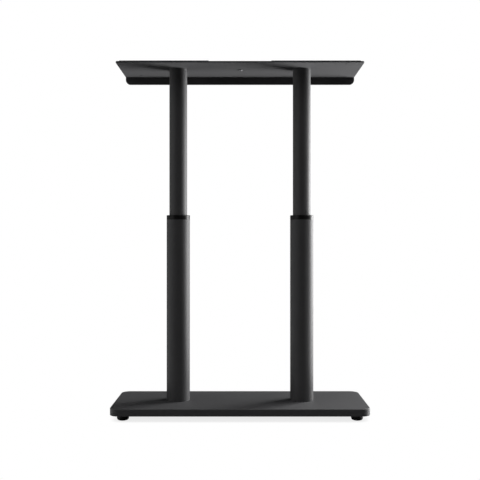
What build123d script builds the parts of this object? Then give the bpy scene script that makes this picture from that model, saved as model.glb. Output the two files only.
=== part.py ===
from build123d import *
import os
from math import atan, cos, degrees, radians, sin

# Height adjustable desk frame with two telescopic columns, shown at full height.
# Millimetres, +Z up, front towards -Y. The origin is on the floor, midway between
# the columns.

# ---------------------------------------------------------------- driving sizes
# base: a steel slab under a sheet-metal cover
base_length = 848.0
base_depth = 294.0
base_height = 23.8
base_corner_radius = 30.0
cover_sheet = 2.0
cover_edge_radius = 2.6
cover_lip_radius = 0.6
slab_thickness = 16.0
slab_gap = 0.5
cover_stud_diameter = 5.0
cover_stud_length = 14.0
cover_stud_spacing_x = 310.0
cover_stud_spacing_y = 220.0
cover_nut_width = 8.0
cover_nut_height = 4.0
cover_nut_depth = 8.0

# levelling feet
foot_clearance_height = 20.0
foot_diameter = 39.0
foot_edge_radius = 7.5
foot_inset = 40.5
foot_sole_height = 5.0
foot_sole_standout = 0.6
foot_sole_edge_radius = 0.5
foot_top_radius = 0.8
foot_stud_diameter = 8.0
foot_stud_head_ledge = 3.0
foot_stud_head_height = 5.0
foot_hex_ledge = 2.5
foot_hex_height = 3.3

# columns
column_spacing = 422.0
lower_tube_diameter = 79.0
lower_tube_wall = 2.5
upper_tube_diameter = 60.4
upper_tube_wall = 2.0
stroke = 480.0
tube_overlap = 129.0
lowered_gap = 18.0
flange_thickness = 12.0
push_tube_wall = 2.0
push_tube_socket = 8.0

# collar and glides
collar_height = 15.2
collar_spigot = 12.0
collar_edge_radius = 1.5
collar_lead_in = 0.8
collar_gap = 0.5
upper_glide_height = 40.0
lower_glide_height = 30.0
lower_glide_lift = 3.0
glide_grooves = 8
glide_groove_width = 6.0
glide_groove_share = 0.3

# column bolts, from below the slab into the flanges
column_bolts_each = 4
column_bolt_diameter = 8.0
column_bolt_head_diameter = 13.0
column_bolt_head_height = 8.0
column_bolt_head_sink = 1.0
column_bolt_key = 6.0
column_bolt_edge = 0.8

# spindle drive, from the spindle's lower end to the motor's cap
spindle_diameter = 16.0
spindle_ledge = 4.0
spindle_end_gap = 3.0
spindle_end_chamfer = 1.5
spindle_top_gap = 2.0
nut_wall = 4.0
nut_height = 26.0
nut_flange_ledge = 3.0
nut_flange_height = 6.0
nut_stop_gap = 4.0
nut_chamfer = 1.0
thrust_collar_height = 5.0
thrust_collar_lift = 1.0
bearing_wall = 9.5
bearing_height = 9.0
bearing_groove_depth = 1.0
housing_height = 24.0
coupling_gap = 1.0
coupling_height = 11.0
coupling_lift = 0.5
coupling_chamfer = 0.6
coupling_recess = 6.0
coupling_shaft_diameter = 10.0
coupling_shaft_length = 12.0
coupling_shaft_bore_depth = 30.0
drive_gap = 4.2
gearbox_height = 38.0
gearbox_chamfer = 1.0
motor_height = 51.2
motor_groove_width = 2.0
motor_groove_depth = 0.6
motor_groove_drop = 6.0
motor_cap_height = 5.0
motor_cap_notch = 10.0
motor_cap_notch_depth = 3.0
tie_rods_each = 3
tie_rod_diameter = 3.0
tie_rod_grip = 7.0

# head of the columns
head_mount_height = 12.0
head_screws_each = 4
head_screw_diameter = 6.0
head_screw_head_diameter = 12.0
head_screw_wall = 5.2
head_screw_key = 4.0
head_screw_key_depth = 2.2
lead_hole_diameter = 14.0
grommet_lip = 3.0
grommet_lip_height = 1.5
grommet_lip_radius = 1.1
grommet_dish_diameter = 9.0
grommet_dish_depth = 2.4

# top plate and its pads
plate_thickness = 5.0
plate_length = 818.0
plate_front = 104.8
plate_back = 127.2
plate_corner_radius = 8.0
plate_inner_bend = 1.5
plate_edge_radius = 0.6
plate_flange_drop = 26.0
plate_flange_corner_radius = 17.0
worktop_hole_diameter = 6.5
worktop_hole_spacing_x = 700.0
worktop_hole_spacing_y = 170.0
pad_thickness = 3.0
pad_end_inset = 8.0
pad_front_inset = 1.5
pad_back_inset = 6.0
pad_inner_end = 99.5
pad_slope = 4.5
pad_corner_radius = 6.0
pad_edge_radius = 0.8
pad_head_margin = 5.8
centre_screw_diameter = 8.0
centre_screw_head_diameter = 15.0
centre_screw_head_height = 4.6
centre_screw_head_edge = 0.6
centre_screw_key = 5.0
centre_screw_key_depth = 2.4
centre_screw_length = 7.0

# fits
running_fit = 0.05
slip_fit = 0.1
stop_gap = 0.2
loose_fit = 0.3
hole_clearance = 0.5
past = 1.0  # how far a cutter runs past the face that it opens

# ------------------------------------------------------------- derived heights
slab_bottom = foot_clearance_height + base_height - cover_sheet - slab_thickness
slab_top = slab_bottom + slab_thickness
base_top = slab_top + cover_sheet
flange_top = slab_top + flange_thickness
push_tube_seat = flange_top - push_tube_socket
spindle_end = push_tube_seat + spindle_end_gap + stroke
nut_bottom = spindle_end + spindle_end_gap
nut_top = nut_bottom + nut_height
nut_seat = nut_top - nut_flange_height
housing_bottom = nut_top + nut_stop_gap + stroke
thrust_collar_bottom = housing_bottom + thrust_collar_lift
bearing_bottom = thrust_collar_bottom + thrust_collar_height
bearing_top = bearing_bottom + bearing_height
gearbox_bottom = housing_bottom + housing_height
spindle_top = gearbox_bottom - spindle_top_gap
motor_bottom = gearbox_bottom + gearbox_height
motor_cap_bottom = motor_bottom + motor_height
head_bottom = motor_cap_bottom + motor_cap_height
plate_bottom = head_bottom + head_mount_height
plate_top = plate_bottom + plate_thickness
pad_top = plate_top + pad_thickness
collar_top = plate_bottom - stroke - lowered_gap
collar_bottom = collar_top - collar_height
upper_tube_end = collar_top - tube_overlap
column_bolt_seat = slab_bottom + column_bolt_head_sink + column_bolt_head_height
cover_nut_seat = slab_bottom + cover_nut_depth
foot_hex_top = slab_bottom - stop_gap
foot_hex_bottom = foot_hex_top - foot_hex_height
foot_cup_top = foot_hex_bottom - loose_fit
foot_stud_head_bottom = foot_sole_height + hole_clearance
foot_stud_head_top = foot_stud_head_bottom + foot_stud_head_height
foot_stud_top = slab_top - hole_clearance

# ------------------------------------------------------------ derived diameters
lower_tube_bore = lower_tube_diameter - 2 * lower_tube_wall
upper_tube_bore = upper_tube_diameter - 2 * upper_tube_wall
push_tube_bore = spindle_diameter + 2 * nut_wall
push_tube_diameter = push_tube_bore + 2 * push_tube_wall
nut_flange_diameter = push_tube_diameter + 2 * nut_flange_ledge
spindle_hole = spindle_diameter + 2 * running_fit
glide_groove_depth = glide_groove_share * (lower_tube_bore - upper_tube_diameter) / 2
upper_glide_bore = upper_tube_diameter + 2 * running_fit
lower_glide_diameter = lower_tube_bore - 2 * running_fit
coupling_diameter = spindle_diameter + 2 * spindle_ledge
coupling_bore = coupling_diameter + 2 * coupling_gap
bearing_diameter = spindle_diameter + 2 * bearing_wall
plug_diameter = upper_tube_bore - 2 * slip_fit
drive_diameter = upper_tube_bore - 2 * drive_gap
tie_rod_circle = (drive_diameter + upper_tube_bore) / 2
column_bolt_circle = (lower_tube_bore + push_tube_diameter) / 2
head_screw_circle = upper_tube_bore - head_screw_diameter - 2 * head_screw_wall
head_screw_cone = (head_screw_head_diameter - head_screw_diameter) / 2
pad_head_opening = upper_tube_diameter + 2 * pad_head_margin
foot_sole_diameter = foot_diameter - 2 * foot_edge_radius - 1
foot_stud_head_diameter = foot_stud_diameter + 2 * foot_stud_head_ledge
foot_stud_hole = foot_stud_diameter + 2 * running_fit
foot_hex_width = foot_stud_diameter + 2 * foot_hex_ledge


# --------------------------------------------------------------- small helpers
def rod(diameter, bottom, top, x=0.0, y=0.0):
    """A round bar along Z."""
    return Pos(x, y, (bottom + top) / 2) * Cylinder(diameter / 2, top - bottom)


def ring(outer, inner, bottom, top, x=0.0, y=0.0):
    """A tube or ring along Z."""
    return rod(outer, bottom, top, x, y) - rod(inner, bottom - past, top + past, x, y)


def hex_bar(width, bottom, top, x=0.0, y=0.0):
    """A hexagonal bar along Z, its width measured across the flats."""
    outline = RegularPolygon(width / 2, 6, major_radius=False)
    return Pos(x, y, bottom) * extrude(outline, top - bottom)


def rounded_slab(length, depth, radius, bottom, top):
    """A flat block with rounded vertical corners, centred on the origin."""
    return Pos(0, 0, bottom) * extrude(RectangleRounded(length, depth, radius), top - bottom)


def around(count, circle, x=0.0, start=45.0):
    """Centres spaced evenly on a bolt circle of the given diameter."""
    angles = [radians(start + 360.0 / count * i) for i in range(count)]
    return [(x + circle / 2 * cos(a), circle / 2 * sin(a)) for a in angles]


def drilled(shape, places, diameter, bottom, top):
    """Drill the same hole at each place, from one height to another."""
    for x, y in places:
        shape -= rod(diameter, bottom, top, x, y)
    return shape


def rim(shape, height):
    """The edges of a shape that lie in the plane at this height."""
    return shape.edges().filter_by_position(Axis.Z, height - 0.01, height + 0.01)


def group(solids):
    """Identical loose pieces, kept together in one node."""
    return Compound(children=list(solids))


# ----------------------------------------------------------------------- places
half_spacing = column_spacing / 2
foot_x = base_length / 2 - foot_inset
foot_y = base_depth / 2 - foot_inset
sides = {"left": -half_spacing, "right": half_spacing}
feet = {
    "front_left": (-foot_x, -foot_y),
    "front_right": (foot_x, -foot_y),
    "back_left": (-foot_x, foot_y),
    "back_right": (foot_x, foot_y),
}
cover_stud_places = [
    (i * cover_stud_spacing_x, j * cover_stud_spacing_y / 2) for i in (-1, 0, 1) for j in (-1, 1)
]
worktop_hole_places = [
    (i * worktop_hole_spacing_x / 2, j * worktop_hole_spacing_y / 2) for i in (-1, 1) for j in (-1, 1)
]


def column_bolt_places(x):
    return around(column_bolts_each, column_bolt_circle, x)


def head_screw_places(x):
    return around(head_screws_each, head_screw_circle, x)


def tie_rod_places(x):
    return around(tie_rods_each, tie_rod_circle, x, start=90.0)


# ------------------------------------------------------------------------ base
def base_cover():
    """The sheet-metal pan: a top with a skirt all round, open below."""
    bottom = foot_clearance_height
    cover = rounded_slab(base_length, base_depth, base_corner_radius, bottom, base_top)
    cover = fillet(rim(cover, base_top), cover_edge_radius)
    cover -= rounded_slab(
        base_length - 2 * cover_sheet,
        base_depth - 2 * cover_sheet,
        base_corner_radius - cover_sheet,
        bottom - past,
        slab_top,
    )
    cover = fillet(rim(cover, bottom), cover_lip_radius)
    tube_hole = lower_tube_diameter + 2 * loose_fit
    return drilled(cover, [(x, 0) for x in sides.values()], tube_hole, bottom, base_top + past)


def base_plate():
    """The steel slab inside the cover, with every hole that the base needs."""
    margin = cover_sheet + slab_gap
    slab = rounded_slab(
        base_length - 2 * margin,
        base_depth - 2 * margin,
        base_corner_radius - margin,
        slab_bottom,
        slab_top,
    )
    below = slab_bottom - past
    above = slab_top + past
    slab = drilled(slab, feet.values(), foot_stud_hole, below, above)
    for x in sides.values():
        places = column_bolt_places(x)
        slab = drilled(slab, places, column_bolt_diameter + 2 * hole_clearance, below, above)
        sink = column_bolt_head_diameter + 4 * hole_clearance
        slab = drilled(slab, places, sink, below, column_bolt_seat)
    slab = drilled(slab, cover_stud_places, cover_stud_diameter + 2 * hole_clearance, below, above)
    return drilled(slab, cover_stud_places, 2 * cover_nut_width, below, cover_nut_seat)


def cover_stud(x, y):
    """A threaded stud welded to the underside of the cover."""
    return rod(cover_stud_diameter, slab_top - cover_stud_length, slab_top, x, y)


def cover_nut(x, y):
    """A hexagon nut on a cover stud, in the slab's counterbore."""
    nut = hex_bar(cover_nut_width, cover_nut_seat - cover_nut_height, cover_nut_seat, x, y)
    return nut - rod(cover_stud_diameter, slab_bottom, slab_top, x, y)


def column_bolt(x, y):
    """A socket-head bolt, head down, from the slab up into a column flange."""
    low = column_bolt_seat - column_bolt_head_height
    head = rod(column_bolt_head_diameter, low, column_bolt_seat, x, y)
    head = chamfer(rim(head, low), column_bolt_edge)
    head -= hex_bar(column_bolt_key, low, low + column_bolt_head_height / 2, x, y)
    return head + rod(column_bolt_diameter, column_bolt_seat, flange_top - past, x, y)


# -------------------------------------------------------- lower half of a column
def column_flange(x):
    """The disc welded in the tube's lower end, with a socket for the push tube."""
    flange = rod(lower_tube_bore, slab_top, flange_top, x)
    flange -= rod(push_tube_diameter, push_tube_seat, flange_top + past, x)
    places = column_bolt_places(x)
    return drilled(flange, places, column_bolt_diameter, slab_top - past, flange_top + past)


def lower_tube(x):
    """The thick outer tube of a column."""
    return ring(lower_tube_diameter, lower_tube_bore, slab_top, collar_bottom, x)


def collar(x):
    """The moulded ring on the outer tube's end, which closes the gap to the inner tube."""
    spigot_end = collar_bottom - collar_spigot
    body = rod(lower_tube_diameter, collar_bottom, collar_top, x)
    body = fillet(rim(body, collar_top), collar_edge_radius)
    body += rod(lower_tube_bore, spigot_end, collar_bottom, x)
    body -= rod(upper_tube_diameter + 2 * collar_gap, spigot_end - past, collar_top + past, x)
    mouth = rim(body, collar_top).sort_by(SortBy.RADIUS)[0]
    return chamfer(mouth, collar_lead_in)


def grooved(glide, x, circle):
    """Cut a glide's lengthwise grooves, centred on a circle."""
    box = glide.bounding_box()
    places = around(glide_grooves, circle, x, start=0.0)
    return drilled(glide, places, glide_groove_width, box.min.Z - past, box.max.Z + past)


def upper_glide(x):
    """The bush under the collar, which guides the inner tube."""
    top = collar_bottom - collar_spigot
    bush = ring(lower_tube_bore, upper_glide_bore, top - upper_glide_height, top, x)
    return grooved(bush, x, upper_glide_bore + 2 * glide_groove_depth - glide_groove_width)


def push_tube(x):
    """The tube that stands on the flange and carries the spindle nut."""
    return ring(push_tube_diameter, push_tube_bore, push_tube_seat, nut_seat, x)


def spindle_nut(x):
    """The flanged nut on the push tube, its thread drawn as a plain bore."""
    nut = rod(push_tube_bore, nut_bottom, nut_seat, x)
    flange = rod(nut_flange_diameter, nut_seat, nut_top, x)
    nut += chamfer(rim(flange, nut_top), nut_chamfer)
    return nut - rod(spindle_hole, nut_bottom - past, nut_top + past, x)


# -------------------------------------------------------- upper half of a column
def upper_tube(x):
    """The thinner tube that rises out of the collar."""
    return ring(upper_tube_diameter, upper_tube_bore, upper_tube_end, plate_bottom, x)


def lower_glide(x):
    """The ring on the inner tube's end, which slides in the outer tube."""
    bottom = upper_tube_end + lower_glide_lift
    glide = ring(lower_glide_diameter, upper_tube_diameter, bottom, bottom + lower_glide_height, x)
    return grooved(glide, x, lower_glide_diameter - 2 * glide_groove_depth + glide_groove_width)


def bearing_housing(x):
    """The block at the bottom of the drive, whose shoulder rests on the thrust bearing."""
    block = rod(plug_diameter, housing_bottom, gearbox_bottom, x)
    block -= rod(bearing_diameter, housing_bottom - past, bearing_top, x)
    block -= rod(coupling_bore, bearing_top - past, gearbox_bottom + past, x)
    low = gearbox_bottom - tie_rod_grip
    return drilled(block, tie_rod_places(x), tie_rod_diameter, low, gearbox_bottom + past)


def thrust_bearing(x):
    """The ball bearing under the housing's shoulder, drawn as one closed ring."""
    low = bearing_bottom + loose_fit
    bearing = ring(bearing_diameter, spindle_hole, low, bearing_top, x)
    third = (bearing_diameter - spindle_diameter) / 3
    groove = ring(bearing_diameter - third, spindle_diameter + third, low - past, low, x)
    return bearing - Pos(0, 0, bearing_groove_depth) * groove


def gearbox_case(x):
    """The planetary gearbox, a sealed unit, bored for the coupling and its shaft."""
    case = rod(drive_diameter, gearbox_bottom, motor_bottom, x)
    case = chamfer(rim(case, gearbox_bottom), gearbox_chamfer)
    case -= rod(coupling_bore, gearbox_bottom - past, gearbox_bottom + coupling_recess, x)
    bore = coupling_shaft_diameter + 2 * loose_fit
    return case - rod(bore, gearbox_bottom, gearbox_bottom + coupling_shaft_bore_depth, x)


def motor_can(x):
    """The drawn steel can of the sealed motor, with a rolled groove."""
    can = rod(drive_diameter, motor_bottom, motor_cap_bottom, x)
    low = motor_cap_bottom - motor_groove_drop
    waist = drive_diameter - 2 * motor_groove_depth
    return can - ring(drive_diameter + past, waist, low, low + motor_groove_width, x)


def motor_cap(x):
    """The plastic end cap over the motor's brushes, notched for its leads."""
    cap = rod(drive_diameter, motor_cap_bottom, head_bottom, x)
    cut = Box(motor_cap_notch, motor_cap_notch, 2 * motor_cap_notch_depth)
    return cap - Pos(x, drive_diameter / 2, head_bottom) * cut


def head_mount(x):
    """The cast plug in the tube's upper end that the top plate is screwed to."""
    low = head_bottom - past
    high = plate_bottom + past
    plug = ring(plug_diameter, lead_hole_diameter, head_bottom, plate_bottom, x)
    plug = drilled(plug, head_screw_places(x), head_screw_diameter, low, high)
    return drilled(plug, tie_rod_places(x), tie_rod_diameter, low, head_bottom + tie_rod_grip)


def tie_rod(x, y):
    """A thin rod beside the motor that ties the head mount to the bearing housing."""
    return rod(tie_rod_diameter, gearbox_bottom - tie_rod_grip, head_bottom + tie_rod_grip, x, y)


# ------------------------------------------------- turning parts inside a column
def spindle(x):
    """The lead screw, its thread drawn as a plain rod on the thread's crests."""
    bar = rod(spindle_diameter, spindle_end, spindle_top, x)
    return chamfer(rim(bar, spindle_end) + rim(bar, spindle_top), spindle_end_chamfer)


def thrust_collar(x):
    """The ring pinned to the spindle that lifts the bearing."""
    return ring(coupling_diameter, spindle_diameter, thrust_collar_bottom, bearing_bottom, x)


def drive_coupling(x):
    """The hub on the spindle's top, with the gearbox's output shaft."""
    bottom = bearing_top + coupling_lift
    top = bottom + coupling_height
    hub = rod(coupling_diameter, bottom, top, x)
    hub = chamfer(rim(hub, bottom) + rim(hub, top), coupling_chamfer)
    hub -= rod(spindle_diameter, bottom - past, spindle_top, x)
    return hub + rod(coupling_shaft_diameter, top, top + coupling_shaft_length, x)


# ------------------------------------------------------------------- top plate
def plate_edges(plate, axis, y, z=None):
    """The plate's straight edges along an axis, at this depth and, if given, height."""
    near = [e for e in plate.edges().filter_by(axis) if abs(e.center().Y - y) < 0.1]
    return [e for e in near if z is None or abs(e.center().Z - z) < 0.1]


def screw_cone(x, y):
    """The cone of a countersunk head that ends flush with the plate's top."""
    middle = plate_top - head_screw_cone / 2
    shape = Cone(head_screw_diameter / 2, head_screw_head_diameter / 2, head_screw_cone)
    return Pos(x, y, middle) * shape


def top_plate():
    """The steel plate with its rear edge folded down, drilled for every screw."""
    inner_y = plate_back - plate_thickness
    lower_z = plate_bottom - plate_flange_drop
    section = Polyline(
        (-plate_front, plate_bottom),
        (inner_y, plate_bottom),
        (inner_y, lower_z),
        (plate_back, lower_z),
        (plate_back, plate_top),
        (-plate_front, plate_top),
        close=True,
    )
    bar = extrude(Plane.YZ * make_face(section), plate_length)
    plate = Pos(-plate_length / 2, 0, 0) * bar
    outer_bend = plate_inner_bend + plate_thickness
    plate = fillet(plate_edges(plate, Axis.X, plate_back, plate_top), outer_bend)
    plate = fillet(plate_edges(plate, Axis.X, inner_y, plate_bottom), plate_inner_bend)
    middle_y = plate_back - plate_thickness / 2
    plate = fillet(plate_edges(plate, Axis.Y, middle_y, lower_z), plate_flange_corner_radius)
    plate = fillet(plate_edges(plate, Axis.Z, -plate_front), plate_corner_radius)
    plate = fillet(plate_edges(plate, Axis.X, -plate_front), plate_edge_radius)
    low = plate_bottom - past
    high = plate_top + past
    plate = drilled(plate, worktop_hole_places, worktop_hole_diameter, low, high)
    for x in sides.values():
        plate = drilled(plate, head_screw_places(x), head_screw_diameter, low, high)
        plate = drilled(plate, [(x, 0)], lead_hole_diameter, low, high)
        for screw_x, screw_y in head_screw_places(x):
            plate -= screw_cone(screw_x, screw_y)
    return drilled(plate, [(0, 0)], centre_screw_diameter, low, high)


def head_screw(x, y):
    """A countersunk screw through the plate into the head mount."""
    shank = rod(head_screw_diameter, head_bottom + past, plate_top - head_screw_cone, x, y)
    key = hex_bar(head_screw_key, plate_top - head_screw_key_depth, plate_top + past, x, y)
    return shank + screw_cone(x, y) - key


def top_pad(side_sign):
    """The pad that one half of the worktop rests on, cut out over the column head."""
    outer_end = plate_length / 2 - pad_end_inset
    front = -plate_front + pad_front_inset
    back = plate_back - plate_inner_bend - plate_thickness - pad_back_inset
    middle = (side_sign * (outer_end + pad_inner_end) / 2, (front + back) / 2, plate_top)
    outline = RectangleRounded(outer_end - pad_inner_end, back - front, pad_corner_radius)
    slope = degrees(atan(pad_slope / pad_thickness))
    pad = Pos(*middle) * extrude(outline, pad_thickness, taper=slope)
    pad = fillet(rim(pad, pad_top), pad_edge_radius)
    low = plate_top - past
    high = pad_top + past
    pad = drilled(pad, worktop_hole_places, worktop_hole_diameter, low, high)
    return drilled(pad, [(side_sign * half_spacing, 0)], pad_head_opening, low, high)


def centre_screw():
    """The domed screw in the middle of the plate's underside."""
    low = plate_bottom - centre_screw_head_height
    head = rod(centre_screw_head_diameter, low, plate_bottom)
    head = fillet(rim(head, low), centre_screw_head_height - centre_screw_head_edge)
    head -= hex_bar(centre_screw_key, low - past, low + centre_screw_key_depth)
    return head + rod(centre_screw_diameter, plate_bottom, plate_bottom + centre_screw_length)


def cable_grommet(x):
    """The closed rubber plug in the lead hole over a column."""
    top = plate_top + grommet_lip_height
    lip = rod(lead_hole_diameter + 2 * grommet_lip, plate_top, top, x)
    lip = fillet(rim(lip, top), grommet_lip_radius)
    plug = rod(lead_hole_diameter, plate_bottom, plate_top, x)
    return lip + plug - rod(grommet_dish_diameter, top - grommet_dish_depth, top + past, x)


# -------------------------------------------------------------- levelling feet
def foot_cup(x, y):
    """The round moulded cup, bowl-shaped below, with a pocket for the stud's head."""
    cup = rod(foot_diameter, foot_sole_standout, foot_cup_top, x, y)
    cup = fillet(rim(cup, foot_sole_standout), foot_edge_radius)
    cup = fillet(rim(cup, foot_cup_top), foot_top_radius)
    cup -= rod(foot_sole_diameter, 0, foot_sole_height, x, y)
    pocket = foot_stud_head_diameter + 2 * hole_clearance
    cup -= rod(pocket, foot_sole_standout, foot_stud_head_top + hole_clearance, x, y)
    return cup - rod(foot_stud_hole, foot_sole_standout, foot_cup_top + past, x, y)


def foot_sole(x, y):
    """The rubber disc that touches the floor."""
    sole = rod(foot_sole_diameter, 0, foot_sole_height, x, y)
    return fillet(rim(sole, 0), foot_sole_edge_radius)


def foot_stud(x, y):
    """The threaded stud, with a head in the cup and a hexagon for a spanner."""
    stud = rod(foot_stud_head_diameter, foot_stud_head_bottom, foot_stud_head_top, x, y)
    stud += rod(foot_stud_diameter, foot_stud_head_top, foot_stud_top, x, y)
    return stud + hex_bar(foot_hex_width, foot_hex_bottom, foot_hex_top, x, y)


# --------------------------------------------------------------------- the nodes
nodes = {
    "base_cover": base_cover(),
    "base_plate": base_plate(),
    "cover_studs": group(cover_stud(x, y) for x, y in cover_stud_places),
    "cover_nuts": group(cover_nut(x, y) for x, y in cover_stud_places),
    "column_bolts": group(
        column_bolt(x, y) for side_x in sides.values() for x, y in column_bolt_places(side_x)
    ),
    "tie_rods": group(tie_rod(x, y) for side_x in sides.values() for x, y in tie_rod_places(side_x)),
    "head_screws": group(
        head_screw(x, y) for side_x in sides.values() for x, y in head_screw_places(side_x)
    ),
    "cable_grommets": group(cable_grommet(x) for x in sides.values()),
    "top_plate": top_plate(),
    "top_pad_left": top_pad(-1),
    "top_pad_right": top_pad(1),
    "centre_screw": centre_screw(),
}
column_pieces = [
    column_flange,
    lower_tube,
    collar,
    upper_glide,
    push_tube,
    spindle_nut,
    upper_tube,
    lower_glide,
    bearing_housing,
    thrust_bearing,
    gearbox_case,
    motor_can,
    motor_cap,
    head_mount,
    spindle,
    thrust_collar,
    drive_coupling,
]
for piece in column_pieces:
    for side, side_x in sides.items():
        nodes[f"{piece.__name__}_{side}"] = piece(side_x)
for piece in (foot_cup, foot_sole, foot_stud):
    for corner, (corner_x, corner_y) in feet.items():
        nodes[f"{piece.__name__}_{corner}"] = piece(corner_x, corner_y)

os.makedirs("parts", exist_ok=True)
for name, shape in nodes.items():
    export_step(shape, f"parts/{name}.step")
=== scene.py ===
import math
import bmesh
import bpy
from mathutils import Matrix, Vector


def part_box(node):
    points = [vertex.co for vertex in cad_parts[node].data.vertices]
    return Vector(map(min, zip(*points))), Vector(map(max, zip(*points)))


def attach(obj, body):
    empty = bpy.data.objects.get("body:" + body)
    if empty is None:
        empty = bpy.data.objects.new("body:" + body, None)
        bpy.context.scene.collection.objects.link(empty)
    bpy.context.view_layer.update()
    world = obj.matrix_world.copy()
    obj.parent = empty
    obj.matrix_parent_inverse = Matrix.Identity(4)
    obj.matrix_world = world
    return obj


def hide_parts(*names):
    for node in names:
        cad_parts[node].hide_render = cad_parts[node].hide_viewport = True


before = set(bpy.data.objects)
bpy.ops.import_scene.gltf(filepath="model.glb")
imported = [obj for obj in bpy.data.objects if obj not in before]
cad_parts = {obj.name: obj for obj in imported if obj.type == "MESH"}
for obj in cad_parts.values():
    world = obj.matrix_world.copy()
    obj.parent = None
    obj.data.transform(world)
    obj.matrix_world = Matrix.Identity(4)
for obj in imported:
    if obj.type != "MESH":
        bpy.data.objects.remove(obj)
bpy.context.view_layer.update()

# ====================================================================== the studio
# A white room, with the camera level with the middle of the frame. The frame is lit by
# glowing panels of wall and by one tall softbox on the right, a little behind it.


class Field:
    """A value, colour or direction that varies over a surface. Arithmetic adds Math nodes."""

    def __init__(self, recipe, socket):
        self.recipe = recipe
        self.socket = socket

    def __add__(self, other):
        return self.recipe.maths("ADD", self, other)

    def __sub__(self, other):
        return self.recipe.maths("SUBTRACT", self, other)

    def __mul__(self, other):
        return self.recipe.maths("MULTIPLY", self, other)

    def __rsub__(self, other):
        return self.recipe.maths("SUBTRACT", other, self)

    __radd__ = __add__
    __rmul__ = __mul__


class Recipe:
    """A node tree being put together, for a finish or for the room's light."""

    def __init__(self, tree):
        self.tree = tree

    def node(self, kind, settings=None, inputs=None, output=0):
        """Add a node, settings first and then its sockets, and return one of its outputs."""
        made = self.tree.nodes.new("ShaderNode" + kind)
        for name, value in (settings or {}).items():
            setattr(made, name, value)
        for name, value in (inputs or {}).items():
            if isinstance(value, Field):
                self.tree.links.new(value.socket, made.inputs[name])
            else:
                made.inputs[name].default_value = value
        return Field(self, made.outputs[output])

    def maths(self, operation, first, second=0.0):
        """Work out one operation on fields or numbers."""
        return self.node("Math", {"operation": operation}, {0: first, 1: second})

    def ramp(self, field, low, high, start=0.0, end=1.0):
        """Map a field's stretch from low to high onto the stretch from start to end."""
        inputs = {"Value": field, "From Min": low, "From Max": high, "To Min": start, "To Max": end}
        return self.node("MapRange", {"interpolation_type": "SMOOTHSTEP"}, inputs)


def place(data, name, location=(0, 0, 0)):
    """Put an object with this data in the scene."""
    made = bpy.data.objects.new(name, data)
    made.location = location
    bpy.context.scene.collection.objects.link(made)
    return made


camera_data = bpy.data.cameras.new("camera")
camera_data.sensor_width = 36.0
camera_data.lens = 56.3
camera_data.shift_y = 0.001
camera = place(camera_data, "camera", (0.0, -2.567, 0.588))
camera.rotation_euler = (math.radians(90), 0, 0)
bpy.context.scene.camera = camera
bpy.context.scene.view_settings.view_transform = "Standard"

room = bpy.data.worlds.new("white_room")
room.use_nodes = True
bpy.context.scene.world = room
air = Recipe(room.node_tree)
direction = air.node("TexCoord", output="Generated")
east, north, up = (air.node("SeparateXYZ", inputs={0: direction}, output=axis) for axis in "XYZ")
turn = air.maths("ARCTAN2", east, 0 - north) * math.degrees(1)
rise = air.maths("ARCSINE", up) * math.degrees(1)
panel_fade = 3


def panel(azimuth, spread, low, high, brightness):
    """A glowing patch of wall: its middle and half width, counted from the front towards the
    right, and its lower and upper edge, all in degrees. The edges fade."""
    across = air.ramp(air.maths("ABSOLUTE", turn - azimuth), spread + panel_fade, spread - panel_fade)
    above = air.ramp(rise, low - panel_fade, low + panel_fade)
    below = air.ramp(rise, high + panel_fade, high - panel_fade)
    return across * above * below * brightness


# Three panels stand behind on the right, four are on the left, two are high in front on the
# right, and a dim one lies low in front.
glow = (
    panel(112, 22, -95, -15, 10.0)
    + panel(112, 22, -15, 20, 2.4)
    + panel(112, 22, 20, 95, 4.3)
    + panel(-112, 22, -95, -8, 1.3)
    + panel(-60, 15, -20, 25, 0.8)
    + panel(-105, 25, -15, 20, 0.35)
    + panel(-67, 22, 20, 95, 1.2)
    + panel(22, 22, 20, 95, 0.46)
    + panel(67, 22, 20, 95, 1.45)
    + panel(-10, 50, -35, -5, 0.14)
)
seen = air.node("LightPath", output="Is Camera Ray")
strength = seen + (1 - seen) * glow
backdrop = room.node_tree.nodes["Background"]
backdrop.inputs["Color"].default_value = (1.0, 1.0, 1.0, 1.0)
room.node_tree.links.new(strength.socket, backdrop.inputs["Strength"])

softbox = bpy.data.lights.new("key_light", "AREA")
softbox.shape = "RECTANGLE"
softbox.size = 0.62
softbox.size_y = 1.1
softbox.energy = 40.0
softbox_middle = Vector((1.59, 0.88, 0.72))
lit_point = Vector((0.0, 0.0, 0.6))
key_light = place(softbox, "key_light", softbox_middle)
key_light.rotation_euler = (lit_point - softbox_middle).to_track_quat("-Z", "Y").to_euler()
key_light.visible_camera = False

# The floor is white paper that only the camera sees. Where something stands close, ambient occlusion dims
# its glow to grey: a painted contact shadow.
floor_size = 60.0
shade_reach = 0.10
shade_tone = 0.79
open_enough = 0.6
bpy.ops.mesh.primitive_grid_add(x_subdivisions=8, y_subdivisions=8, size=floor_size)
floor = bpy.context.object
floor.name = "floor"
floor.visible_diffuse = False
floor.visible_glossy = False
floor.visible_shadow = False
paper = bpy.data.materials.new("white_paper")
paper.use_nodes = True
sweep = Recipe(paper.node_tree)
# Painted shade: the emission falls from white to shade_tone wherever ambient occlusion finds something
# within shade_reach.
openness = sweep.node("AmbientOcclusion", {"samples": 8}, {"Distance": shade_reach}, output="AO")
tone = sweep.ramp(openness, 0.0, open_enough, shade_tone, 1.0)
paint = sweep.node("Emission", inputs={"Strength": tone})
sweep.tree.links.new(paint.socket, paper.node_tree.nodes["Material Output"].inputs["Surface"])
floor.data.materials.append(paper)

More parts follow.
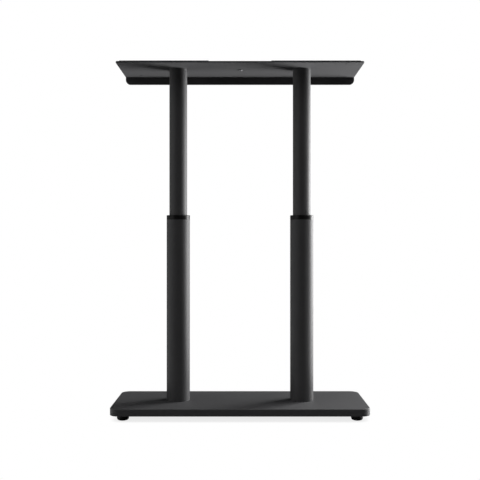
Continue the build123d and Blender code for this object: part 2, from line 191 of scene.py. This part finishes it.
# The floor itself neither lights nor shades the frame, so a dark card lies under the base
# and keeps the light from below off its feet and lower edges.
base_low, base_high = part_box("base_cover")
card_margin = 0.025
card_depth = 0.002
card_length = base_high[0] - base_low[0] + 2 * card_margin
card_width = base_high[1] - base_low[1] + 2 * card_margin
bpy.ops.mesh.primitive_grid_add(x_subdivisions=2, y_subdivisions=2, size=1.0)
card = bpy.context.object
card.name = "shadow_card"
card.location = (0.0, 0.0, -card_depth)
card.scale = (card_length, card_width, 1.0)
card.visible_camera = False
soot = bpy.data.materials.new("black_card")
soot.use_nodes = True
soot.node_tree.nodes["Principled BSDF"].inputs["Base Color"].default_value = (0.02, 0.02, 0.02, 1.0)
soot.node_tree.nodes["Principled BSDF"].inputs["Roughness"].default_value = 0.9
card.data.materials.append(soot)


# ================================================================= the base slab
# A heavy steel slab, 16 mm thick, sawn from plate and dipped in black primer. The discs
# that are welded into the lower ends of the columns have the same primer.


class Finish(Recipe):
    """A material for the object's own surfaces, with one Principled shader."""

    def __init__(self, name, constants):
        self.material = bpy.data.materials.new(name)
        self.material.use_nodes = True
        super().__init__(self.material.node_tree)
        self.surface = self.tree.nodes["Principled BSDF"]
        for socket, value in constants.items():
            self.surface.inputs[socket].default_value = value

    def noise(self, scale, detail=3.0, stretch=(1, 1, 1)):
        """Cloudy noise from 0 to 1, with its grain given as cycles for each metre."""
        point = self.node("TexCoord", output="Object")
        point = self.node("VectorMath", {"operation": "MULTIPLY"}, {0: point, 1: stretch})
        inputs = {"Vector": point, "Scale": scale, "Detail": detail}
        return self.node("TexNoise", inputs=inputs)

    def cells(self, scale):
        """Distance to the nearest point of a random cell pattern."""
        point = self.node("TexCoord", output="Object")
        return self.node("TexVoronoi", inputs={"Vector": point, "Scale": scale})

    def soft_normal(self, radius):
        """The surface's direction with its sharp edges rounded off."""
        return self.node("Bevel", {"samples": 6}, {"Radius": radius})

    def edges(self, radius):
        """A mask that is 1 on sharp edges and 0 on flats."""
        sharp = self.node("NewGeometry", output="Normal")
        pair = {0: self.soft_normal(radius), 1: sharp}
        agreement = self.node("VectorMath", {"operation": "DOT_PRODUCT"}, pair, output="Value")
        on_flats = 0.995
        on_edges = 0.80
        return self.ramp(agreement, on_flats, on_edges)

    def mix(self, mask, below, above):
        """Blend two colour fields by a mask."""
        return self.node("Mix", {"data_type": "RGBA"}, {"Factor": mask, 6: below, 7: above}, output=2)

    def colour(self, mask, where_0, where_1):
        """Blend two plain colours by a mask."""
        return self.mix(mask, (*where_0, 1.0), (*where_1, 1.0))

    def relief(self, height, depth, radius=0.0005):
        """Raise the surface by a height field, depth metres at most, with softened edges."""
        inputs = {"Height": height, "Distance": depth, "Normal": self.soft_normal(radius)}
        return self.node("Bump", inputs=inputs)

    def feed(self, sockets):
        """Connect fields to the Principled shader's sockets."""
        for socket, field in sockets.items():
            self.tree.links.new(field.socket, self.surface.inputs[socket])

    def cover(self, *names):
        """Give this finish to the CAD nodes with these names."""
        for name in names:
            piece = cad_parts[name]
            piece.data.materials.clear()
            piece.data.materials.append(self.material)


def both(*names):
    """The names of a pair of pieces, left and right."""
    return [f"{name}_{side}" for name in names for side in ("left", "right")]


primer = Finish("black_primer", {"IOR": 1.45})
runs = primer.noise(35.0)
grit = primer.noise(900.0, 2.0)
worn = primer.edges(0.0012) * primer.noise(160.0)
dipped_skin = primer.colour(runs, (0.018, 0.018, 0.019), (0.032, 0.032, 0.033))
bared_steel = primer.colour(grit, (0.11, 0.11, 0.11), (0.16, 0.16, 0.165))
primer.feed({
    "Base Color": primer.mix(worn, dipped_skin, bared_steel),
    "Roughness": 0.56 + 0.16 * grit - 0.1 * worn,
    "Normal": primer.relief(grit + 2.0 * runs, 0.00012),
})
primer.cover("base_plate", *both("column_flange"))

# ================================================================ the base cover
# A pan folded from 2 mm sheet steel over the slab, its corners welded and ground round,
# then powder coated: dark graphite, satin, with a fine orange peel.


def powder_coat(name, peel):
    """Graphite powder coat, pebbled, a little glossier and paler where edges get rubbed."""
    coat = Finish(name, {"IOR": 1.5})
    cloud = coat.noise(14.0)
    pebbles = coat.noise(620.0, 2.0)
    fine_grain = coat.noise(2400.0, 1.0)
    fleck = coat.ramp(coat.cells(2300.0), 0.25, 0.05)
    rubbed = coat.edges(0.0016) * coat.ramp(coat.noise(55.0), 0.35, 0.75)
    ground = coat.colour(cloud, (0.042, 0.042, 0.044), (0.050, 0.050, 0.052))
    pale = coat.colour(cloud, (0.09, 0.09, 0.092), (0.12, 0.12, 0.122))
    coat.feed({
        "Base Color": coat.mix(rubbed * 0.55 + fleck * 0.12, ground, pale),
        "Roughness": 0.52 + 0.10 * pebbles + 0.05 * cloud - 0.12 * rubbed,
        "Normal": coat.relief(pebbles + 0.3 * fine_grain, peel),
    })
    return coat


graphite = powder_coat("graphite_powder_coat", 0.00007)
graphite.cover("base_cover")

# ====================================================== fasteners inside the base
# Six welded studs and hexagon nuts hold the cover, and eight socket-head bolts come up
# through the slab into the columns' discs. The studs and nuts are zinc plated, and the
# bolts have a black oxide skin.

zinc = Finish("zinc_plate", {"Metallic": 1.0})
spangle = zinc.cells(260.0)
smear = zinc.noise(90.0)
handled = zinc.edges(0.0005)
plated = zinc.colour(smear, (0.46, 0.48, 0.52), (0.60, 0.61, 0.62))
polished = zinc.colour(spangle, (0.70, 0.70, 0.70), (0.78, 0.78, 0.77))
zinc.feed({
    "Base Color": zinc.mix(handled * 0.5, plated, polished),
    "Roughness": 0.24 + 0.18 * smear + 0.08 * spangle,
    "Normal": zinc.relief(zinc.noise(1500.0, 2.0), 0.00003, 0.0003),
})

oxide = Finish("black_oxide", {"Metallic": 0.85})
oil = oxide.noise(120.0)
bright = oxide.edges(0.0006)
blackened = oxide.colour(oil, (0.022, 0.022, 0.024), (0.045, 0.045, 0.050))
scraped = oxide.colour(oil, (0.16, 0.16, 0.17), (0.22, 0.22, 0.23))
oxide.feed({
    "Base Color": oxide.mix(bright * 0.6, blackened, scraped),
    "Roughness": 0.30 + 0.20 * oil - 0.08 * bright,
    "Normal": oxide.relief(oxide.noise(1700.0, 2.0), 0.00004, 0.0004),
})


def hexagon(width):
    """How far a hexagonal bar reaches from its centre at an angle; its width is across the flats."""
    return lambda angle: width / 2 / math.cos(angle % (math.pi / 3) - math.pi / 6)


def knurled(radius):
    """How far a bolt head with a fine knurl reaches from its centre at an angle."""
    ridges = 24
    half_depth = 0.00008
    return lambda angle: radius - half_depth * (1 + math.cos(ridges * angle))


def turned(rings, bored=False):
    """A solid through rings, each a height and a radius, which may be a function of the angle."""
    steps = 48
    angles = [math.tau * step / steps for step in range(steps)]
    shape = bmesh.new()
    loops = []
    for height, radius in rings:
        reach = radius if callable(radius) else lambda angle, radius=radius: radius
        loops.append([
            shape.verts.new((reach(angle) * math.cos(angle), reach(angle) * math.sin(angle), height))
            for angle in angles
        ])
    if bored:
        loops.append(loops[0])
    for below, above in zip(loops, loops[1:]):
        for step in range(steps):
            shape.faces.new((below[step - 1], below[step], above[step], above[step - 1]))
    if not bored:
        shape.faces.new(loops[0])
        shape.faces.new(loops[-1])
    bmesh.ops.recalc_face_normals(shape, faces=shape.faces)
    return shape


def threaded(diameter, low, high, pitch, depth, starts=1):
    """A rod with a right-hand thread, its ends cut square and chamfered to the thread's root."""
    # Each point of the profile is a share of the pitch and how far it lies below the crest.
    profile = ((0.0, 0.0), (0.2, 0.0), (0.5, depth), (0.7, depth))
    steps = 24
    hair = 0.000001
    lead = pitch * starts
    bottom = low - lead - pitch
    shape = bmesh.new()
    columns = []
    for step in range(steps):
        angle = math.tau * step / steps
        column = []
        for wind in range(math.ceil((high - bottom) / pitch) + 1):
            for share, sunk in profile:
                radius = diameter / 2 - sunk
                height = bottom + pitch * (wind + share) + lead * step / steps
                column.append(shape.verts.new((radius * math.cos(angle), radius * math.sin(angle), height)))
        columns.append(column)
    columns.append(columns[0][len(profile) * starts:])
    for near, far in zip(columns, columns[1:]):
        for row in range(min(len(near), len(far)) - 1):
            shape.faces.new((near[row], far[row], far[row + 1], near[row + 1]))
    for height, facing in ((low, -1), (high, 1)):
        everything = shape.verts[:] + shape.edges[:] + shape.faces[:]
        saw = {"plane_co": (0, 0, height), "plane_no": (0, 0, facing), "clear_outer": True}
        bmesh.ops.bisect_plane(shape, geom=everything, **saw)
        rim = [edge for edge in shape.edges
               if edge.is_boundary and all(abs(vert.co.z - height) < hair for vert in edge.verts)]
        bmesh.ops.contextual_create(shape, geom=rim)
    for vert in shape.verts:
        limit = diameter / 2 - depth + min(vert.co.z - low, high - vert.co.z)
        radius = math.hypot(vert.co.x, vert.co.y)
        if radius > limit:
            vert.co.x *= limit / radius
            vert.co.y *= limit / radius
    bmesh.ops.recalc_face_normals(shape, faces=shape.faces)
    return shape


def united(name, *shapes):
    """One mesh from solids that overlap, smooth except at its sharp edges."""
    sharpest_smooth = math.radians(28)
    solids = []
    for shape in shapes:
        solids.append(place(bpy.data.meshes.new(name), name))
        shape.to_mesh(solids[-1].data)
        shape.free()
    for other in solids[1:]:
        union = solids[0].modifiers.new("union", "BOOLEAN")
        union.operation = "UNION"
        union.object = other
    graph = bpy.context.evaluated_depsgraph_get()
    mesh = bpy.data.meshes.new_from_object(solids[0].evaluated_get(graph))
    for solid in solids:
        bpy.data.objects.remove(solid)
    mesh.shade_smooth()
    mesh.set_sharp_from_angle(angle=sharpest_smooth)
    return mesh


def repeated(mesh, places):
    """The same mesh at each place, all in one mesh."""
    batch = bmesh.new()
    for x, y in places:
        earlier = len(batch.verts)
        batch.from_mesh(mesh)
        batch.verts.ensure_lookup_table()
        bmesh.ops.translate(batch, verts=batch.verts[earlier:], vec=(x, y, 0))
    batch.to_mesh(mesh)
    batch.free()
    return mesh


def fitted(mesh, node, body, finish):
    """Put a detailed mesh in the place of a plain node, on the same body."""
    piece = place(mesh, f"{node}_detailed")
    mesh.materials.clear()
    mesh.materials.append(finish.material)
    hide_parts(node)
    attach(piece, body)


stud_low, stud_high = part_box("cover_studs")
stud_radius = 0.0025
stud_pitch = 0.0008
stud_thread_depth = 0.00045
weld_height = 0.0008
weld_flare = 0.0004
stud_places = [(i * (stud_high[0] - stud_radius), j * (stud_high[1] - stud_radius))
               for i in (-1, 0, 1) for j in (-1, 1)]
weld = turned([(stud_high[2] - weld_height, stud_radius), (stud_high[2], stud_radius + weld_flare)])
rod = threaded(2 * stud_radius, stud_low[2], stud_high[2], stud_pitch, stud_thread_depth)
studs = repeated(united("cover_studs", rod, weld), stud_places)
fitted(studs, "cover_studs", "base", zinc)

# A nut's or a hexagon's chamfer starts this far inside its flats.
crown_inset = 0.0001

nut_low, nut_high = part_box("cover_nuts")
nut_width = 0.008
nut_chamfer = 0.0005
nut_crown = nut_width / 2 - crown_inset
thread_clearance = 0.00002
nut_bore = stud_radius + thread_clearance
nut = turned([
    (nut_low[2], nut_bore + nut_chamfer), (nut_low[2], nut_crown),
    (nut_low[2] + nut_chamfer, hexagon(nut_width)), (nut_high[2] - nut_chamfer, hexagon(nut_width)),
    (nut_high[2], nut_crown), (nut_high[2], nut_bore + nut_chamfer),
    (nut_high[2] - nut_chamfer, nut_bore), (nut_low[2] + nut_chamfer, nut_bore),
], bored=True)
fitted(repeated(united("cover_nuts", nut), stud_places), "cover_nuts", "base", zinc)

# The bolts are M8, and so are the levelling feet's studs.
m8_diameter = 0.008
m8_pitch = 0.00125
m8_thread_depth = 0.0007

bolt_low, bolt_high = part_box("column_bolts")
head_radius = 0.0065
head_height = 0.008
head_chamfer = 0.0008
seat_chamfer = 0.0003
key_width = 0.006
key_depth = head_height / 2
shank_length = 0.002
shank_overlap = 0.0005
seat = bolt_low[2] + head_height
spindle_low, spindle_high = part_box("spindle_right")
column_x = (spindle_low[0] + spindle_high[0]) / 2
bolt_offset = bolt_high[0] - head_radius - column_x
bolt_places = [(side * column_x + i * bolt_offset, j * bolt_offset)
               for side in (-1, 1) for i in (-1, 1) for j in (-1, 1)]
head = turned([
    (bolt_low[2] + key_depth, hexagon(key_width)), (bolt_low[2], hexagon(key_width)),
    (bolt_low[2], head_radius - head_chamfer), (bolt_low[2] + head_chamfer, knurled(head_radius)),
    (seat - seat_chamfer, knurled(head_radius)), (seat, head_radius - seat_chamfer),
    (seat, m8_diameter / 2), (seat + shank_length, m8_diameter / 2),
])
rod = threaded(m8_diameter, seat + shank_length - shank_overlap, bolt_high[2], m8_pitch, m8_thread_depth)
bolts = repeated(united("column_bolts", head, rod), bolt_places)
fitted(bolts, "column_bolts", "base", oxide)

# =============================================================== levelling feet
# A moulded black nylon cup with a rubber sole turns on a zinc-plated M8 stud, which
# screws up into the slab and has a hexagon under it for a spanner.

corners = ("front_left", "front_right", "back_left", "back_right")

nylon = Finish("black_nylon", {"IOR": 1.5})
flow = nylon.noise(60.0)
spark = nylon.noise(2600.0, 2.0)
scuff = nylon.edges(0.0010) * nylon.ramp(nylon.noise(240.0), 0.4, 0.8)
moulded = nylon.colour(flow, (0.010, 0.010, 0.011), (0.016, 0.016, 0.017))
scuffed = nylon.colour(flow, (0.05, 0.05, 0.05), (0.07, 0.07, 0.07))
nylon.feed({
    "Base Color": nylon.mix(scuff * 0.5, moulded, scuffed),
    "Roughness": 0.42 + 0.18 * spark + 0.06 * flow,
    "Normal": nylon.relief(spark, 0.00005, 0.0006),
})
nylon.cover(*[f"foot_cup_{corner}" for corner in corners])

rubber = Finish("black_rubber", {"IOR": 1.5})
bloom = rubber.noise(45.0)
grain = rubber.cells(1400.0)
rubber.feed({
    "Base Color": rubber.colour(bloom, (0.014, 0.014, 0.014), (0.026, 0.026, 0.026)),
    "Roughness": 0.72 + 0.18 * grain + 0.05 * bloom,
    "Normal": rubber.relief(grain, 0.00010, 0.0006),
})
rubber.cover(*[f"foot_sole_{corner}" for corner in corners])

slab_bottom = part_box("base_plate")[0][2]
slab_gap = 0.0002
hex_height = 0.0033
hex_width = 0.013
hex_top = slab_bottom - slab_gap
hex_bottom = hex_top - hex_height
hex_chamfer = 0.0005
hex_crown = hex_width / 2 - crown_inset
neck_radius = m8_diameter / 2
neck_length = 0.001
disc_radius = 0.007
disc_height = 0.005
disc_chamfer = 0.0004
for corner in corners:
    node = f"foot_stud_{corner}"
    low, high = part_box(node)
    disc_bottom = low[2]
    disc_top = disc_bottom + disc_height
    head = turned([
        (disc_bottom, disc_radius - disc_chamfer), (disc_bottom + disc_chamfer, disc_radius),
        (disc_top - disc_chamfer, disc_radius), (disc_top, disc_radius - disc_chamfer),
        (disc_top, neck_radius), (hex_bottom, neck_radius),
        (hex_bottom, hex_crown), (hex_bottom + hex_chamfer, hexagon(hex_width)),
        (hex_top - hex_chamfer, hexagon(hex_width)), (hex_top, hex_crown),
        (hex_top, neck_radius), (hex_top + neck_length, neck_radius),
    ])
    rod = threaded(m8_diameter, hex_top + neck_length / 2, high[2], m8_pitch, m8_thread_depth)
    centre = ((low[0] + high[0]) / 2, (low[1] + high[1]) / 2)
    fitted(repeated(united(node, head, rod), [centre]), node, f"stud_{corner}", zinc)

# =============================================================== outer tubes
# Thick-walled round steel tube, 79 mm across, welded to its disc and powder coated with
# the base. The coat lies a little smoother on the round than on the flat.

tube_coat = powder_coat("tube_powder_coat", 0.00005)
tube_coat.cover(*both("lower_tube"))

# ===================================================================== collars
# Rings of gloss black plastic, injection moulded and pressed into the outer tubes' upper
# ends. They hide the gap that the inner tubes slide in.

gloss = Finish("gloss_black_plastic", {"IOR": 1.31})
haze = gloss.noise(70.0)
wipe = gloss.noise(900.0, 3.0, (0.15, 0.15, 4.0))
gloss.feed({
    "Base Color": gloss.colour(haze, (0.003, 0.003, 0.003), (0.006, 0.006, 0.006)),
    "Roughness": 0.31 + 0.06 * haze + 0.06 * wipe,
    "Normal": gloss.relief(gloss.noise(140.0, 1.0), 0.00003, 0.0004),
})
gloss.cover(*both("collar"))

# ====================================================================== glides
# White acetal: a slotted bush under each collar, and a ring on each inner tube's lower end.
# They keep the inner tube in line, and run dry on the steel.

acetal = Finish("white_acetal", {"IOR": 1.48, "Subsurface Weight": 0.1})
streak = acetal.noise(120.0)
acetal.feed({
    "Base Color": acetal.colour(streak, (0.70, 0.70, 0.67), (0.80, 0.80, 0.77)),
    "Roughness": 0.36 + 0.14 * streak,
    "Normal": acetal.relief(acetal.noise(1200.0, 2.0), 0.00003),
})
acetal.cover(*both("upper_glide", "lower_glide"))

# ================================================== push tubes, spindles and bearings
# Drawn and turned steel. A push tube stands on each disc, and a spindle with a four-start
# thread hangs inside it from a ball thrust bearing: two grooved races and sixteen balls.

steel = Finish("drawn_steel", {"Metallic": 1.0})
drawn = steel.noise(900.0, 3.0, (1, 1, 0.02))
film = steel.noise(25.0)
steel.feed({
    "Base Color": steel.colour(film, (0.36, 0.37, 0.38), (0.50, 0.50, 0.51)),
    "Roughness": 0.22 + 0.20 * drawn + 0.06 * film,
    "Normal": steel.relief(drawn, 0.00004, 0.0004),
})
steel.cover(*both("push_tube", "thrust_collar", "drive_coupling"))

spindle_radius = (spindle_high[0] - spindle_low[0]) / 2
spindle_pitch = 0.004
spindle_starts = 4
spindle_thread_depth = 0.0016
journal_below_collar = 0.006
journal_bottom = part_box("thrust_collar_right")[0][2] - journal_below_collar
journal_chamfer = 0.0015
thread_overlap = 0.003
journal = [
    (journal_bottom, spindle_radius - spindle_thread_depth),
    (journal_bottom + spindle_thread_depth, spindle_radius),
    (spindle_high[2] - journal_chamfer, spindle_radius),
    (spindle_high[2], spindle_radius - journal_chamfer),
]

bearing_low, bearing_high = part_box("thrust_bearing_right")
bearing_radius = (bearing_high[0] - bearing_low[0]) / 2
bearing_clearance = 0.0003
bearing_bore = spindle_radius + bearing_clearance
bearing_middle = (bearing_low[2] + bearing_high[2]) / 2
race_radius = (bearing_radius + bearing_bore) / 2
race_thickness = 0.0029
groove_half_width = 0.0016
groove_depth = 0.0008
ball_radius = 0.00225
ball_count = 16
lower_race = (bearing_low[2], bearing_low[2] + race_thickness)
upper_race = (bearing_high[2], bearing_high[2] - race_thickness)

for side, x in (("left", -column_x), ("right", column_x)):
    rod = threaded(2 * spindle_radius, spindle_low[2], journal_bottom + thread_overlap,
                   spindle_pitch, spindle_thread_depth, spindle_starts)
    spindle = repeated(united(f"spindle_{side}", rod, turned(journal)), [(x, 0)])
    fitted(spindle, f"spindle_{side}", f"spindle_assembly_{side}", steel)

    rings_and_balls = bmesh.new()
    for outside, inside in (lower_race, upper_race):
        race = turned([
            (outside, bearing_bore), (outside, bearing_radius), (inside, bearing_radius),
            (inside, race_radius + groove_half_width),
            (inside + math.copysign(groove_depth, outside - inside), race_radius),
            (inside, race_radius - groove_half_width), (inside, bearing_bore),
        ], bored=True)
        loose = bpy.data.meshes.new("race")
        race.to_mesh(loose)
        race.free()
        rings_and_balls.from_mesh(loose)
    for step in range(ball_count):
        angle = math.tau * step / ball_count
        middle = (race_radius * math.cos(angle), race_radius * math.sin(angle), bearing_middle)
        ball = bmesh.ops.create_uvsphere(rings_and_balls, u_segments=16, v_segments=10, radius=ball_radius)
        bmesh.ops.translate(rings_and_balls, verts=ball["verts"], vec=middle)
    bearing = repeated(united(f"thrust_bearing_{side}", rings_and_balls), [(x, 0)])
    fitted(bearing, f"thrust_bearing_{side}", "lift", steel)

# ================================================================ spindle nuts
# Flanged nuts turned from bronze bar. They sit on top of the push tubes, and the spindles
# screw down through them when the desk is lowered.

bronze = Finish("turned_bronze", {"Metallic": 1.0})
tool_marks = bronze.noise(1400.0, 2.0, (0.02, 0.02, 1))
tarnish = bronze.noise(60.0)
bronze.feed({
    "Base Color": bronze.colour(tarnish, (0.50, 0.33, 0.14), (0.66, 0.46, 0.22)),
    "Roughness": 0.24 + 0.16 * tool_marks + 0.1 * tarnish,
    "Normal": bronze.relief(tool_marks, 0.00005, 0.0004),
})
bronze.cover(*both("spindle_nut"))

# ======================================================== motors and gearboxes
# A cast aluminium housing holds the thrust bearing in the inner tube. On it stand a cast
# gearbox and a motor in a zinc-plated steel can, closed by a black nylon cap.

cast = Finish("cast_aluminium", {"Metallic": 1.0})
skin = cast.noise(500.0, 4.0)
cast.feed({
    "Base Color": cast.colour(cast.noise(40.0), (0.52, 0.53, 0.54), (0.66, 0.66, 0.67)),
    "Roughness": 0.44 + 0.22 * skin,
    "Normal": cast.relief(skin, 0.00012, 0.0006),
})
cast.cover(*both("bearing_housing", "gearbox_case"))
zinc.cover(*both("motor_can"))
nylon.cover(*both("motor_cap"))

# ================================================= inner tubes and head mounts
# Round steel tube, 60.4 mm across, coated like the outer tubes. A cast aluminium plug closes
# its upper end, and three zinc-plated rods tie the bearing housing to the plug.

tube_coat.cover(*both("upper_tube"))
cast.cover(*both("head_mount"))
zinc.cover("tie_rods")

# ================================================================= the top plate
# 5 mm steel plate with its rear edge folded down, drilled and powder coated. Countersunk
# screws hold it to the head mounts, and two pads and two cable grommets are black rubber.

graphite.cover("top_plate")
zinc.cover("head_screws")
rubber.cover("cable_grommets", *both("top_pad"))

# A domed socket screw sits in the middle of the plate. Its black oxide skin is rubbed
# thin, so the steel shows through grey.
thin_oxide = Finish("rubbed_black_oxide", {"Metallic": 1.0})
swirl = thin_oxide.noise(420.0)
thin_oxide.feed({
    "Base Color": thin_oxide.colour(swirl, (0.11, 0.11, 0.115), (0.22, 0.22, 0.23)),
    "Roughness": 0.60 + 0.16 * swirl,
    "Normal": thin_oxide.relief(thin_oxide.noise(1700.0, 2.0), 0.00004, 0.0005),
})
thin_oxide.cover("centre_screw")
